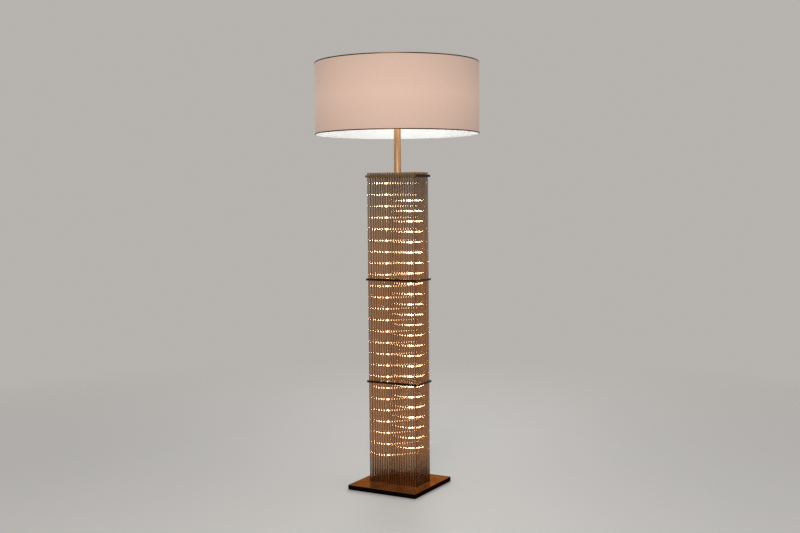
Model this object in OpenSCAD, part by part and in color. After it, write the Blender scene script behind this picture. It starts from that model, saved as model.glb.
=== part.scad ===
// Cage floor lamp: three tiers of upright glass rods between metal plates, round a central stem
// that carries a drum shade. Two strings of small lights hang inside the cage of rods.
// Millimetres, Z up. The origin is on the floor, at the middle of the base.
// X runs along the long side of the cage, and -Y is the front.

/* [Overall] */
// Height from the floor to the top rim of the shade
total_h = 1690; // [1640:5:1800]

/* [Base] */
// Side of the square base plate
base_w = 304; // [284:2:360]
// Thickness of the base plate
base_t = 18; // [16:0.5:26]
// Bevel round the top edge of the base plate
base_bevel = 0.8; // [0.3:0.1:2]
// Diameter of a foot pad
pad_d = 26; // [18:1:30]
// Thickness of a foot pad
pad_h = 2; // [1:0.5:4]
// Distance from the edge of the base to the middle of a pad
pad_inset = 20; // [16:1:22]
// Side of the square pocket under the base plate
pocket_w = 190; // [150:2:200]
// Height of the pocket above its cover
pocket_h = 9; // [8.8:0.1:9.6]
// Thickness of the pocket's cover
cover_t = 1.5; // [1:0.25:2]
// Width of the ledge that the cover is screwed to
cover_ledge = 10; // [8:0.5:12]
// Gap round the cover in its rebate
cover_clear = 0.4; // [0.2:0.1:0.8]

/* [Base fittings] */
// Shank diameter of a cover screw
screw_d = 3; // [2.5:0.5:3.5]
// Head diameter of a cover screw
screw_head_d = 5.6; // [5:0.2:6.4]
// Length of a cover screw
screw_l = 7; // [5:0.5:9]
// Radial gap round a screw in its hole
screw_clear = 0.1; // [0.05:0.05:0.3]
// Hole for the mains cord through the inlet grommet
inlet_bore_d = 8; // [7:0.5:9]
// Body diameter of the grommet
grommet_d = 11; // [10.5:0.5:12]
// Length of the grommet's body in the base
grommet_l = 9; // [6:0.5:14]
// Diameter of the grommet's flange
flange_d = 13; // [12.5:0.5:14]
// Thickness of the grommet's flange
flange_t = 1.8; // [1:0.2:3]
// Height of the inlet above the underside of the base plate
inlet_rise = 7.2; // [7:0.1:8]
// Length of the light strings' driver
driver_l = 120; // [90:1:130]
// Width of the driver
driver_w = 45; // [30:1:48]
// Height of the driver
driver_h = 8.4; // [6:0.2:8.6]
// Length of the terminal block
block_l = 34; // [24:1:44]
// Width of the terminal block
block_w = 18; // [14:1:22]
// Height of the terminal block
block_h = 7.5; // [5:0.5:8.5]
// Diameter of a clamping chamber in the terminal block
chamber_d = 3.6; // [3:0.2:4]
// Distance from the axis to the near side of the driver and of the terminal block
fitting_offset = 28; // [24:1:32]

/* [Plates] */
// Length of a plate
plate_l = 228; // [215:1:260]
// Width of a plate
plate_w = 125; // [118:1:150]
// Thickness of a plate
plate_t = 9; // [7:0.5:12]
// Corner radius of a plate
plate_corner_r = 2; // [1:0.5:5]
// Clear height of one tier, from plate to plate
tier_gap = 401; // [385:0.5:415]

/* [Glass rods] */
// Diameter of a glass rod
rod_d = 8; // [6:0.5:8.5]
// Rods along a long side, corners included
rods_long = 20; // [12:1:21]
// Rods along a short side, corners included
rods_short = 11; // [6:1:11]
// Distance from the edge of a plate to the middle of a rod
rod_inset = 9.5; // [7:0.5:11]
// Bevel at both ends of a rod
rod_bevel = 0.6; // [0.2:0.1:1.5]
// Depth of a rod's socket in a plate
socket_depth = 2.2; // [1.5:0.1:2.5]
// Depth of a rod's socket in the base
base_socket_depth = 3; // [2:0.25:3.5]
// Radial gap round a rod in its socket
rod_clear = 0.3; // [0.1:0.05:0.5]
// Gap between the top of a rod and the end of its upper socket
rod_play = 0.5; // [0.3:0.1:1]
// Height of the top tier's rods above the top plate
rod_stand = 10; // [4:0.5:14]

/* [Stem] */
// Outer diameter of the stem
stem_d = 28; // [24:0.5:36]
// Wall of the stem's tubes
stem_wall = 1.5; // [1:0.25:2.5]
// Diameter of the inner tube that clamps the stack
core_d = 13; // [12.5:0.5:14]
// Bore of the inner tube
core_bore = 10; // [8:0.5:10.5]
// Radial gap round the inner tube in the plates and fittings
core_clear = 0.2; // [0.1:0.05:0.4]
// Height of a centring bush
bush_h = 5; // [3:0.5:10]
// Radial gap between a bush and the stem's tube
bush_clear = 0.2; // [0.1:0.05:0.4]
// Diameter of a washer on the inner tube
washer_d = 24; // [23:0.5:28]
// Thickness of a washer
washer_t = 1.2; // [0.8:0.2:1.6]
// Width of a clamping nut across its flats
nut_af = 18; // [17:0.5:20]
// Height of a clamping nut
nut_h = 4.5; // [4:0.25:5]
// Length of the inner tube that shows past a nut
core_end = 0.8; // [0.4:0.2:1.2]
// Radial gap round the wiring loom in the inner tube
loom_clear = 0.5; // [0.2:0.1:0.8]

/* [Light strings] */
// Distance from the axis to a light string
string_x = 52; // [35:1:75]
// Diameter of the rod that carries a string
string_d = 3; // [2:0.5:4]
// Depth of that rod's seat in the base and in the top plate
string_seat = 3; // [2:0.25:3.5]
// Radial gap round that rod in the plates
string_clear = 0.3; // [0.1:0.05:0.6]
// Diameter of a light
bead_d = 16; // [11:0.5:20]
// Height of a light
bead_h = 10; // [8:0.5:12]
// Radial gap between a light and its rod
bead_clear = 0.1; // [0.05:0.05:0.2]
// Least gap between a light and the base or a plate
bead_gap = 3; // [2:0.5:6]
// Height of the left string's lowest light above the base
left_low = 100; // [80:1:130]
// Spacing of the left string's lights
left_pitch = 45.75; // [40:0.25:60]
// Most lights on the left string
left_count = 25; // [5:1:25]
// Height of the right string's lowest light above the base
right_low = 140; // [80:1:180]
// Spacing of the right string's lights
right_pitch = 41.2; // [36:0.2:60]
// Most lights on the right string
right_count = 25; // [5:1:25]

/* [Shade] */
// Outer diameter of the shade over its rims
shade_d = 650; // [500:5:750]
// Height of the shade over its rims
shade_h = 280; // [250:5:320]
// Thickness of the laminated fabric
fabric_t = 1.5; // [0.8:0.1:2.5]
// Height of a rim
rim_h = 4; // [3:0.5:8]
// Sheet thickness of a rim
rim_t = 0.8; // [0.5:0.1:1.2]
// Gap between the fabric and its rims
rim_clear = 0.1; // [0.05:0.05:0.3]
// Diameter of a spider arm
arm_d = 4; // [3:0.5:6]
// Number of spider arms
arms = 3; // [3:1:6]
// Depth of the arms' lower face at the hub below the top rim
spider_drop = 36; // [34:1:60]
// Diameter of the spider's hub
hub_d = 30; // [24:1:40]
// Height of the spider's hub
hub_h = 6; // [5:0.5:10]
// Radial running gap between the hub or the knob and the shade rod
running_clear = 0.1; // [0.05:0.01:0.1]
// Standing gap between pieces that turn against each other
turn_gap = 0.3; // [0.2:0.1:0.5]

/* [Shade carrier] */
// Diameter of the rod that carries the shade
shade_rod_d = 9; // [7:0.5:10]
// Depth of that rod's shank in the inner tube
shank_l = 14; // [8:1:18]
// Diameter of the collar under the hub
seat_d = 22; // [16:1:28]
// Height of the collar
seat_h = 7; // [5:0.5:12]
// Diameter of the knob on top
finial_d = 20; // [16:1:26]
// Height of the knob's flat foot
finial_foot_h = 2; // [1:0.25:4]
// Diameter of the knob's waist
finial_waist_d = 12; // [11:0.5:14]
// Height of the knob
finial_h = 24; // [20:1:26]
// Depth of the rod's hole in the knob
finial_bore_l = 12; // [8:1:14]

/* [Lamp head] */
// Height of the lampholders' axis above the bottom rim
head_rise = 81; // [72:1:100]
// Diameter of the cluster body
cluster_d = 54; // [50:1:64]
// Height of the cluster body
cluster_h = 32; // [28:1:40]
// Depth of the flats that the lampholders sit on
cluster_flat = 3; // [2:0.5:4]
// Diameter of the cap on the stem
stem_cap_d = 36; // [34:1:44]
// Thickness of that cap
stem_cap_t = 5; // [3:0.5:8]
// Length of the cap's spigot in the stem
spigot_l = 8; // [5:0.5:14]
// Diameter of a threaded nipple
nipple_d = 10; // [8:0.5:10]
// Bore of a nipple
nipple_bore = 7; // [5:0.5:7.5]
// Length of a nipple in the cluster and in the lampholder
nipple_in = 7; // [5:0.5:8]
// Radial gap round a nipple
nipple_clear = 0.1; // [0.05:0.05:0.2]
// Mouth diameter of a lampholder
holder_d = 39; // [36:0.5:44]
// Diameter of a lampholder's rear end
holder_rear_d = 24; // [20:0.5:26]
// Length of the domed rear part of a lampholder
holder_dome_l = 21; // [14:0.5:22]
// Length of the grip band at a lampholder's mouth
holder_band_l = 12; // [8:0.5:16]
// Depth of the grip band
holder_band_t = 1.5; // [0.8:0.1:2]
// Length of a lampholder
holder_l = 55; // [50:0.5:60]

/* [Bulbs] */
// Diameter of a bulb's screw cap
cap_d = 26.4; // [25:0.1:27]
// Length of a bulb's screw cap
cap_l = 26; // [22:0.5:26]
// Length of the straight collar above the cap
collar_l = 4; // [2:0.5:8]
// Diameter of the collar above the cap
collar_d = 29; // [28:0.5:34]
// Diameter of a bulb's globe
globe_d = 60; // [45:1:62]
// Length of a bulb from its contact to its crown
bulb_l = 108; // [98:1:125]
// Diameter of the contact
contact_d = 9; // [6:0.5:12]
// Height of the contact
contact_h = 2; // [1:0.25:3]
// Radial running gap between a bulb's cap and its socket
cap_clear = 0.1; // [0.05:0.01:0.1]

/* [Hidden] */

// Heights, from the floor up
base_bottom = pad_h;
pocket_floor = base_bottom + cover_t;
pocket_top = pocket_floor + pocket_h;
base_top = base_bottom + base_t;
inlet_z = base_bottom + inlet_rise;
plate_z = [for (i = [0:2]) base_top + tier_gap + i * (tier_gap + plate_t)];
cage_top = plate_z[2] + plate_t;
shade_bottom = total_h - shade_h;
head_z = shade_bottom + head_rise;
cluster_z = head_z - cluster_h / 2;
stem_top = cluster_z - stem_cap_t;
hub_z = total_h - spider_drop;
finial_z = hub_z + hub_h + turn_gap;
seat_z = hub_z - turn_gap - seat_h;
core_bottom = pocket_top - washer_t - nut_h - core_end;
core_top = cluster_z + cluster_h + washer_t + nut_h + core_end;

// Radii of the shade's layers, from the outside in
fabric_r = shade_d / 2 - rim_t - rim_clear;
rim_inner_r = fabric_r - fabric_t - rim_clear - rim_t;

// Places of the rods in plan
rod_x = plate_l / 2 - rod_inset;
rod_y = plate_w / 2 - rod_inset;
pitch_x = 2 * rod_x / (rods_long - 1);
pitch_y = 2 * rod_y / (rods_short - 1);
long_row = [for (i = [0:rods_long - 1]) -rod_x + i * pitch_x];
short_row = [for (j = [1:rods_short - 2]) -rod_y + j * pitch_y];
front_places = [for (x = long_row) [x, -rod_y]];
back_places = [for (x = long_row) [x, rod_y]];
left_places = [for (y = short_row) [-rod_x, y]];
right_places = [for (y = short_row) [rod_x, y]];
rod_places = concat(front_places, back_places, left_places, right_places);

// Foot and head of the rods of each tier
rod_foot = [
    base_top - base_socket_depth,
    plate_z[0] + plate_t - socket_depth,
    plate_z[1] + plate_t - socket_depth
];
rod_head = [
    plate_z[0] + socket_depth - rod_play,
    plate_z[1] + socket_depth - rod_play,
    cage_top + rod_stand
];

// The stem's tubes stand between these levels
tube_foot = [base_top, plate_z[0] + plate_t, plate_z[1] + plate_t, cage_top];
tube_head = [plate_z[0], plate_z[1], plate_z[2], stem_top];
stem_bore = stem_d - 2 * stem_wall;

// The lampholders face the back, the left front and the right front
bulb_turns = [90, 210, 330];
holder_r = cluster_d / 2 - cluster_flat;
bulb_r = holder_r + holder_l + turn_gap - cap_l;

// Colours
brass = [0.72, 0.50, 0.28];
bronze = [0.36, 0.25, 0.15];
glass = [0.80, 0.88, 0.90, 0.45];
steel = [0.62, 0.63, 0.65];
warm_light = [1.00, 0.86, 0.62];
linen = [0.90, 0.83, 0.76];
black = [0.08, 0.08, 0.08];
white = [0.92, 0.91, 0.88];

// Overcut of a hole past the face that it opens in
over = 1;
$fn = 48;

module up(z) {
    translate([0, 0, z]) children();
}

// A round hole through what stands on the plane z = 0 and is h high
module bore(d, h) {
    up(-over) cylinder(d = d, h = h + 2 * over);
}

// A tube or washer that stands on the plane z = 0
module tube(outer, inner, h) {
    difference() {
        cylinder(d = outer, h = h);
        bore(inner, h);
    }
}

// A square block, centred on the axis
module block(side, h) {
    translate([-side / 2, -side / 2, 0]) cube([side, side, h]);
}

// The same piece on both sides of the axis, where the light strings hang
module both_strings() {
    for (x = [-string_x, string_x]) translate([x, 0, 0]) children();
}

// A plate with round upright corners
module slab(l, w, h, r) {
    linear_extrude(height = h) {
        square([l - 2 * r, w], center = true);
        square([l, w - 2 * r], center = true);
        for (x = [-1, 1], y = [-1, 1]) translate([x * (l / 2 - r), y * (w / 2 - r)]) circle(r = r);
    }
}

// Sockets or through holes for every rod, from the plane z = 0 up
module rod_holes(depth) {
    for (p = rod_places) translate([p[0], p[1], 0]) cylinder(d = rod_d + 2 * rod_clear, h = depth, $fn = 32);
}

// Holes for the rods that carry the two light strings
module string_holes(depth) {
    both_strings() cylinder(d = string_d + 2 * string_clear, h = depth);
}

module core_hole(h) {
    bore(core_d + 2 * core_clear, h);
}

// Base

cover_w = pocket_w + 2 * cover_ledge;
screw_place = pocket_w / 2 + cover_ledge / 2;
pad_place = base_w / 2 - pad_inset;

module square_places(distance) {
    for (x = [-1, 1], y = [-1, 1]) translate([x * distance, y * distance, 0]) children();
}

module base_plate() {
    color(brass) difference() {
        intersection() {
            up(base_bottom) slab(base_w, base_w, base_t, base_bevel);
            base_bevels();
        }
        up(base_bottom - over) {
            block(pocket_w, pocket_top - base_bottom + over);
            block(cover_w, cover_t + over);
        }
        square_places(screw_place) up(base_bottom)
            cylinder(d = screw_d + 2 * screw_clear, h = screw_l + screw_clear);
        up(base_top - base_socket_depth) rod_holes(base_socket_depth + over);
        up(base_top - string_seat) string_holes(string_seat + over);
        up(pocket_top) core_hole(base_top - pocket_top);
        inlet_channel();
    }
}

// The outline of the base from the side, with its top edges bevelled, crossed in both directions
module base_bevels() {
    w = base_w / 2;
    b = base_bevel;
    outline = [[-w, 0], [w, 0], [w, base_t - b], [w - b, base_t], [-w + b, base_t], [-w, base_t - b]];
    up(base_bottom) intersection_for (turn = [0, 90]) {
        rotate([90, 0, turn]) up(-w) linear_extrude(height = 2 * w) polygon(outline);
    }
}

// The cord's way from the back edge of the base into the pocket, with the grommet's counterbore
module inlet_channel() {
    at_inlet() {
        wall = (base_w - pocket_w) / 2;
        up(-wall) bore(inlet_bore_d, wall);
        up(-grommet_l) cylinder(d = grommet_d, h = grommet_l + over);
    }
}

// Places a piece that is drawn along Z in the back edge of the base, pointing backwards
module at_inlet() {
    translate([0, base_w / 2, inlet_z]) rotate([-90, 0, 0]) children();
}

module base_cover() {
    color(steel) up(base_bottom) difference() {
        block(cover_w - 2 * cover_clear, cover_t);
        square_places(screw_place) {
            bore(screw_d + 2 * screw_clear, cover_t);
            countersink(screw_clear);
        }
    }
}

// The cone of a countersunk head, flush with the plane z = 0, with a gap all round
module countersink(gap) {
    r = screw_head_d / 2 + gap;
    deep = min((screw_head_d - screw_d) / 2, cover_t);
    rotate_extrude() polygon([[0, 0], [r, 0], [r - deep, deep], [0, deep]]);
}

module cover_screws() {
    color(steel) square_places(screw_place) up(base_bottom) {
        countersink(0);
        cylinder(d = screw_d, h = screw_l);
    }
}

module foot_pads() {
    color(black) square_places(pad_place) cylinder(d = pad_d, h = pad_h);
}

module cable_grommet() {
    color(black) at_inlet() difference() {
        union() {
            up(-grommet_l) cylinder(d = grommet_d, h = grommet_l);
            cylinder(d = flange_d, h = flange_t);
        }
        up(-grommet_l) bore(inlet_bore_d, grommet_l + flange_t);
    }
}

module led_driver() {
    corner = [-driver_l / 2, -fitting_offset - driver_w, pocket_top - driver_h];
    color(white) translate(corner) cube([driver_l, driver_w, driver_h]);
}

// Three clamping chambers side by side
module terminal_block() {
    color(white) translate([0, fitting_offset, pocket_top - block_h]) difference() {
        translate([-block_l / 2, 0, 0]) cube([block_l, block_w, block_h]);
        for (i = [-1, 0, 1]) translate([i * block_l / 3, 0, block_h / 2])
            rotate([-90, 0, 0]) bore(chamber_d, block_w);
    }
}

// Stem: an inner tube clamps the base, the stem's tubes and the plates into one stack

module core_tube() {
    color(steel) up(core_bottom) tube(core_d, core_bore, core_top - core_bottom);
}

module wiring_loom() {
    top = core_top - shank_l - loom_clear;
    color(black) up(core_bottom) cylinder(d = core_bore - 2 * loom_clear, h = top - core_bottom);
}

module stack_washers() {
    levels = [pocket_top - washer_t, cluster_z + cluster_h];
    color(steel) for (z = levels) up(z) tube(washer_d, core_d + 2 * core_clear, washer_t);
}

module stack_nuts() {
    levels = [pocket_top - washer_t - nut_h, cluster_z + cluster_h + washer_t];
    color(steel) for (z = levels) up(z) difference() {
        cylinder(d = nut_af / cos(30), h = nut_h, $fn = 6);
        core_hole(nut_h);
    }
}

module centring_bushes() {
    outer = stem_bore - 2 * bush_clear;
    inner = core_d + 2 * core_clear;
    levels = concat(tube_foot, [for (i = [0:2]) tube_head[i] - bush_h]);
    color(brass) for (z = levels) up(z) tube(outer, inner, bush_h);
}

module stem_tube(i) {
    color(brass) up(tube_foot[i]) tube(stem_d, stem_bore, tube_head[i] - tube_foot[i]);
}

module stem_cap() {
    color(brass) difference() {
        union() {
            up(stem_top) cylinder(d = stem_cap_d, h = stem_cap_t);
            up(stem_top - spigot_l) cylinder(d = stem_bore - 2 * bush_clear, h = spigot_l + over);
        }
        up(stem_top - spigot_l) core_hole(spigot_l + stem_cap_t);
    }
}

// Plates

module plate_blank(i) {
    up(plate_z[i]) slab(plate_l, plate_w, plate_t, plate_corner_r);
}

// A plate between two tiers: sockets in both faces, and the strings' rods pass through
module middle_plate(i) {
    color(bronze) difference() {
        plate_blank(i);
        up(plate_z[i]) core_hole(plate_t);
        up(plate_z[i] - over) {
            rod_holes(socket_depth + over);
            string_holes(plate_t + 2 * over);
        }
        up(plate_z[i] + plate_t - socket_depth) rod_holes(socket_depth + over);
    }
}

// The top plate: the rods pass through it, and the strings' rods end in its underside
module plate_top() {
    color(bronze) difference() {
        plate_blank(2);
        up(plate_z[2]) core_hole(plate_t);
        up(plate_z[2] - over) {
            rod_holes(plate_t + 2 * over);
            string_holes(string_seat + over);
        }
    }
}

// Glass rods

module glass_rod(l) {
    r = rod_d / 2;
    b = rod_bevel;
    rotate_extrude($fn = 32) polygon([[0, 0], [r - b, 0], [r, b], [r, l - b], [r - b, l], [0, l]]);
}

module rod_row(tier, places) {
    foot = rod_foot[tier];
    color(glass) for (p = places) translate([p[0], p[1], foot]) glass_rod(rod_head[tier] - foot);
}

// Light strings

string_foot = base_top - string_seat;
string_head = plate_z[2] + string_seat;

module string_rods() {
    color(brass) both_strings() up(string_foot) cylinder(d = string_d, h = string_head - string_foot);
}

// A light is left out where it would come too close to the base or to a plate
bead_reach = bead_h / 2 + bead_gap;
function hangs_free(z) = z - bead_reach > base_top && z + bead_reach < plate_z[2]
    && len([for (p = plate_z) if (z + bead_reach > p && z - bead_reach < p + plate_t) p]) == 0;

// A barrel with domed ends, bored for the rod that it is threaded on
module bead() {
    r = bead_d / 2;
    h = bead_h / 2;
    arc = [for (a = [-75:15:75]) [r * cos(a) ^ 0.4, h * sin(a) / sin(75)]];
    difference() {
        rotate_extrude($fn = 24) polygon(concat([[0, -h]], arc, [[0, h]]));
        up(-h) bore(string_d + 2 * bead_clear, bead_h, $fn = 24);
    }
}

module light_string(x, low, pitch, count) {
    levels = [for (k = [0:count - 1]) base_top + low + k * pitch];
    color(warm_light) for (z = levels) if (hangs_free(z)) translate([x, 0, z]) bead();
}

// Lamp head

// Places a piece that is drawn along Z so that it points outwards at the lampholders' height
module outwards(turn, distance) {
    rotate([0, 0, turn]) translate([distance, 0, head_z]) rotate([0, 90, 0]) children();
}

module cluster_body() {
    color(brass) difference() {
        up(cluster_z) cylinder(d = cluster_d, h = cluster_h);
        up(cluster_z) core_hole(cluster_h);
        for (turn = bulb_turns) outwards(turn, holder_r) {
            block(cluster_d + cluster_h, cluster_flat + over);
            up(-nipple_in) cylinder(d = nipple_d + 2 * nipple_clear, h = nipple_in + over);
        }
    }
}

module holder_nipples() {
    start = holder_r - nipple_in;
    color(steel) for (turn = bulb_turns) outwards(turn, start) tube(nipple_d, nipple_bore, 2 * nipple_in);
}

// A skirted lampholder: a domed rear shell and a straight mouth with a grip band.
// Its socket is as deep as the cap of the bulb
module lampholder() {
    rear = holder_rear_d / 2;
    mouth = holder_d / 2;
    curve = [for (a = [0:15:90]) [rear + (mouth - rear) * sin(a), holder_dome_l * (1 - cos(a))]];
    band = mouth - holder_band_t;
    band_from = holder_l - holder_band_l - 2 * holder_band_t;
    band_to = holder_l - 2 * holder_band_t;
    front = [
        [mouth, band_from - holder_band_t], [band, band_from],
        [band, band_to], [mouth, band_to + holder_band_t],
        [mouth, holder_l], [0, holder_l]
    ];
    difference() {
        rotate_extrude() polygon(concat([[0, 0]], curve, front));
        up(holder_l - cap_l) cylinder(d = cap_d + 2 * cap_clear, h = cap_l + over);
        up(-over) cylinder(d = nipple_d + 2 * nipple_clear, h = nipple_in + over);
    }
}

module lampholders() {
    color(black) for (turn = bulb_turns) outwards(turn, holder_r) lampholder();
}

module bulb_cap(turn) {
    color(steel) outwards(turn, bulb_r) {
        cylinder(d = contact_d, h = contact_h);
        up(contact_h) cylinder(d = cap_d, h = cap_l - contact_h);
    }
}

// The collar and globe in one turned outline: a straight flank runs from the collar and touches the globe
module bulb_globe(turn) {
    r = globe_d / 2;
    centre = bulb_l - r;
    collar = collar_d / 2;
    flank = cap_l + collar_l;
    reach = norm([collar, flank - centre]);
    touch = atan2(flank - centre, collar) + acos(r / reach);
    steps = 16;
    angles = [for (i = [0:steps - 1]) touch + (90 - touch) * i / steps];
    arc = [for (a = angles) [r * cos(a), centre + r * sin(a)]];
    foot = [[0, cap_l], [collar, cap_l], [collar, flank]];
    color(white) outwards(turn, bulb_r) rotate_extrude() polygon(concat(foot, arc, [[0, bulb_l]]));
}

// Shade and its carrier

shade_rod_top = finial_z + finial_bore_l;

// The shank fills the top of the inner tube, and the collar is pinned on the rod under the spider's hub
module shade_rod() {
    color(brass) {
        up(core_top - shank_l) cylinder(d = core_bore - 2 * running_clear, h = shank_l);
        up(core_top) cylinder(d = shade_rod_d, h = shade_rod_top - core_top);
    }
}

module shade_seat() {
    r = seat_d / 2;
    bevel = 1;
    outline = [[0, 0], [r - bevel, 0], [r, bevel], [r, seat_h - bevel], [r - bevel, seat_h], [0, seat_h]];
    color(brass) up(seat_z) difference() {
        rotate_extrude() polygon(outline);
        bore(shade_rod_d + 2 * running_clear, seat_h);
    }
}

// A straight round bar between two points in the plane y = 0
module bar(from, to, d) {
    run = to - from;
    lean = atan2(run[0], run[1]);
    translate([from[0], 0, from[1]]) rotate([0, lean, 0]) cylinder(d = d, h = norm(run), $fn = 24);
}

// The hub turns on the shade rod, and its arms rise to the inner face of the top rim
module spider() {
    arm_from = [shade_rod_d, hub_z + hub_h / 2];
    arm_to = [shade_d / 2, total_h - arm_d / 2 - rim_t];
    color(brass) difference() {
        union() {
            up(hub_z) cylinder(d = hub_d, h = hub_h);
            intersection() {
                for (i = [0:arms - 1]) rotate([0, 0, 90 + i * 360 / arms]) bar(arm_from, arm_to, arm_d);
                up(hub_z) cylinder(r = rim_inner_r - rim_clear, h = spider_drop);
            }
        }
        up(hub_z) bore(shade_rod_d + 2 * running_clear, hub_h);
    }
}

module shade_fabric() {
    edge = rim_t + rim_clear;
    bore_r = fabric_r - fabric_t;
    color(linen) up(shade_bottom + edge) tube(2 * fabric_r, 2 * bore_r, shade_h - 2 * edge, $fn = 128);
}

// A channel of thin sheet, open upwards, that the edge of the fabric sits in
module rim() {
    outer = shade_d / 2;
    inner = rim_inner_r;
    rotate_extrude($fn = 128) polygon([
        [inner, 0], [outer, 0], [outer, rim_h], [outer - rim_t, rim_h],
        [outer - rim_t, rim_t], [inner + rim_t, rim_t], [inner + rim_t, rim_h], [inner, rim_h]
    ]);
}

module top_rim() {
    color(bronze) up(total_h) mirror([0, 0, 1]) rim();
}

module bottom_rim() {
    color(bronze) up(shade_bottom) rim();
}

// A turned knob: a flat foot, a waist and a ball
module finial() {
    r = finial_d / 2;
    ball = finial_h - r;
    waist = finial_waist_d / 2;
    start = acos(waist / r);
    steps = 12;
    angles = [for (i = [0:steps - 1]) -start + (90 + start) * i / steps];
    arc = [for (a = angles) [r * cos(a), ball + r * sin(a)]];
    step = 1;
    foot = [[0, 0], [r - step, 0], [r - step, finial_foot_h], [waist, finial_foot_h + step]];
    color(brass) up(finial_z) difference() {
        rotate_extrude() polygon(concat(foot, arc, [[0, finial_h]]));
        up(-over) cylinder(d = shade_rod_d + 2 * running_clear, h = finial_bore_l + turn_gap + over);
    }
}

base_plate();
base_cover();
cover_screws();
foot_pads();
cable_grommet();
led_driver();
terminal_block();
core_tube();
wiring_loom();
stack_washers();
stack_nuts();
centring_bushes();
stem_tube(0);  // stem_tube_lower
stem_tube(1);  // stem_tube_middle
stem_tube(2);  // stem_tube_upper
stem_tube(3);  // stem_tube_top
stem_cap();
middle_plate(0);  // plate_lower
middle_plate(1);  // plate_middle
plate_top();
rod_row(0, front_places);  // rods_lower_front
rod_row(0, back_places);  // rods_lower_back
rod_row(0, left_places);  // rods_lower_left
rod_row(0, right_places);  // rods_lower_right
rod_row(1, front_places);  // rods_middle_front
rod_row(1, back_places);  // rods_middle_back
rod_row(1, left_places);  // rods_middle_left
rod_row(1, right_places);  // rods_middle_right
rod_row(2, front_places);  // rods_upper_front
rod_row(2, back_places);  // rods_upper_back
rod_row(2, left_places);  // rods_upper_left
rod_row(2, right_places);  // rods_upper_right
string_rods();
light_string(-string_x, left_low, left_pitch, left_count);  // lights_left
light_string(string_x, right_low, right_pitch, right_count);  // lights_right
cluster_body();
holder_nipples();
lampholders();
bulb_cap(bulb_turns[0]);  // bulb_rear_cap
bulb_globe(bulb_turns[0]);  // bulb_rear_globe
bulb_cap(bulb_turns[1]);  // bulb_left_cap
bulb_globe(bulb_turns[1]);  // bulb_left_globe
bulb_cap(bulb_turns[2]);  // bulb_right_cap
bulb_globe(bulb_turns[2]);  // bulb_right_globe
shade_rod();
shade_seat();
spider();
shade_fabric();
top_rim();
bottom_rim();
finial();
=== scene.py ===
# A floor lamp: a square metal base, a central stem, three tiers of upright glass rods between metal
# plates, two strings of small lights in the cage of rods, and a fabric drum shade over three bulbs.
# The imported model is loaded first, and every piece takes its place from it. Metres, Z up.
import math

import bmesh
import bpy
from mathutils import Matrix, Vector


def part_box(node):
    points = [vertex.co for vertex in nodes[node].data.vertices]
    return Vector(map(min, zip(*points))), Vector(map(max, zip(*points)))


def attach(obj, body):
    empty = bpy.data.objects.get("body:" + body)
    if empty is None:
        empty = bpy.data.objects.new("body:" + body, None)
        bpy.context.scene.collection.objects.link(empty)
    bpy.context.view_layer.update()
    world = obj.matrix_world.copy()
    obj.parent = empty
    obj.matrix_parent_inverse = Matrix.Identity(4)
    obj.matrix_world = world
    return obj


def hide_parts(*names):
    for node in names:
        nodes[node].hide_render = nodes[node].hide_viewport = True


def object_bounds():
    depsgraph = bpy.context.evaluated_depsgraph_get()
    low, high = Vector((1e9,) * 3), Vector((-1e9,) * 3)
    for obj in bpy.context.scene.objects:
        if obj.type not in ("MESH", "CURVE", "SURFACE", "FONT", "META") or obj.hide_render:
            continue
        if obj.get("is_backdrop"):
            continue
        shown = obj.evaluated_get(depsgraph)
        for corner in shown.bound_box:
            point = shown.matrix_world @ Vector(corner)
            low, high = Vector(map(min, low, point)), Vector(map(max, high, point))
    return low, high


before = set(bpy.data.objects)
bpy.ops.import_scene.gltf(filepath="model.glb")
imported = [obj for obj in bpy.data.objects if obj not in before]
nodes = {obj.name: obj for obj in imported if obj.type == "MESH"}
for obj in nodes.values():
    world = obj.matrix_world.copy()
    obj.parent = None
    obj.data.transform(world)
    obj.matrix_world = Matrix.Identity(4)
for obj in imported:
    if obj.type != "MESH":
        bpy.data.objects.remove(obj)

cad_box = [list(corner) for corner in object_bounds()]

# ---- Base plate ----------------------------------------------------------------------------------
# A square of solid brass, ground flat, brushed along its width and lacquered brown. Its sides are painted near
# black as shade. The rods and the stem stand in it, and the whole lamp is clamped to it.


def seen_as(red, green, blue):
    """A colour as it is seen on screen, 0 to 255, turned into the values that a shader takes."""
    def straight(part):
        part /= 255
        return part / 12.92 if part <= 0.04045 else ((part + 0.055) / 1.055) ** 2.4
    return (straight(red), straight(green), straight(blue), 1)


def finish(name, colour, rough, metal=0.0, **sockets):
    """A finish of one shader with plain values. Other sockets are named with _ for a space."""
    made = bpy.data.materials.new(name)
    made.use_nodes = True
    shader = made.node_tree.nodes["Principled BSDF"]
    shader.inputs["Base Color"].default_value = colour
    shader.inputs["Roughness"].default_value = rough
    shader.inputs["Metallic"].default_value = metal
    for socket, value in sockets.items():
        shader.inputs[socket.replace("_", " ")].default_value = value
    return made


def grow(tree, kind, _settings=None, **feeds):
    """Adds a node to a tree. Each feed is a value or another node's output, by input name or number."""
    added = tree.nodes.new(kind)
    for key, value in (_settings or {}).items():
        setattr(added, key, value)
    for key, value in feeds.items():
        socket = added.inputs[int(key[1:])] if key[0] == "_" else added.inputs[key.replace("_", " ")]
        if isinstance(value, bpy.types.NodeSocket):
            tree.links.new(value, socket)
        else:
            socket.default_value = value
    return added


def put(made, kind, _settings=None, **feeds):
    """Adds a node to a finish, with its feeds as grow() has them."""
    return grow(made.node_tree, "ShaderNode" + kind, _settings, **feeds)


def feed(made, output, socket):
    """Joins a node's output to an input of the finish's own shader."""
    made.node_tree.links.new(output, made.node_tree.nodes["Principled BSDF"].inputs[socket])


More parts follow.
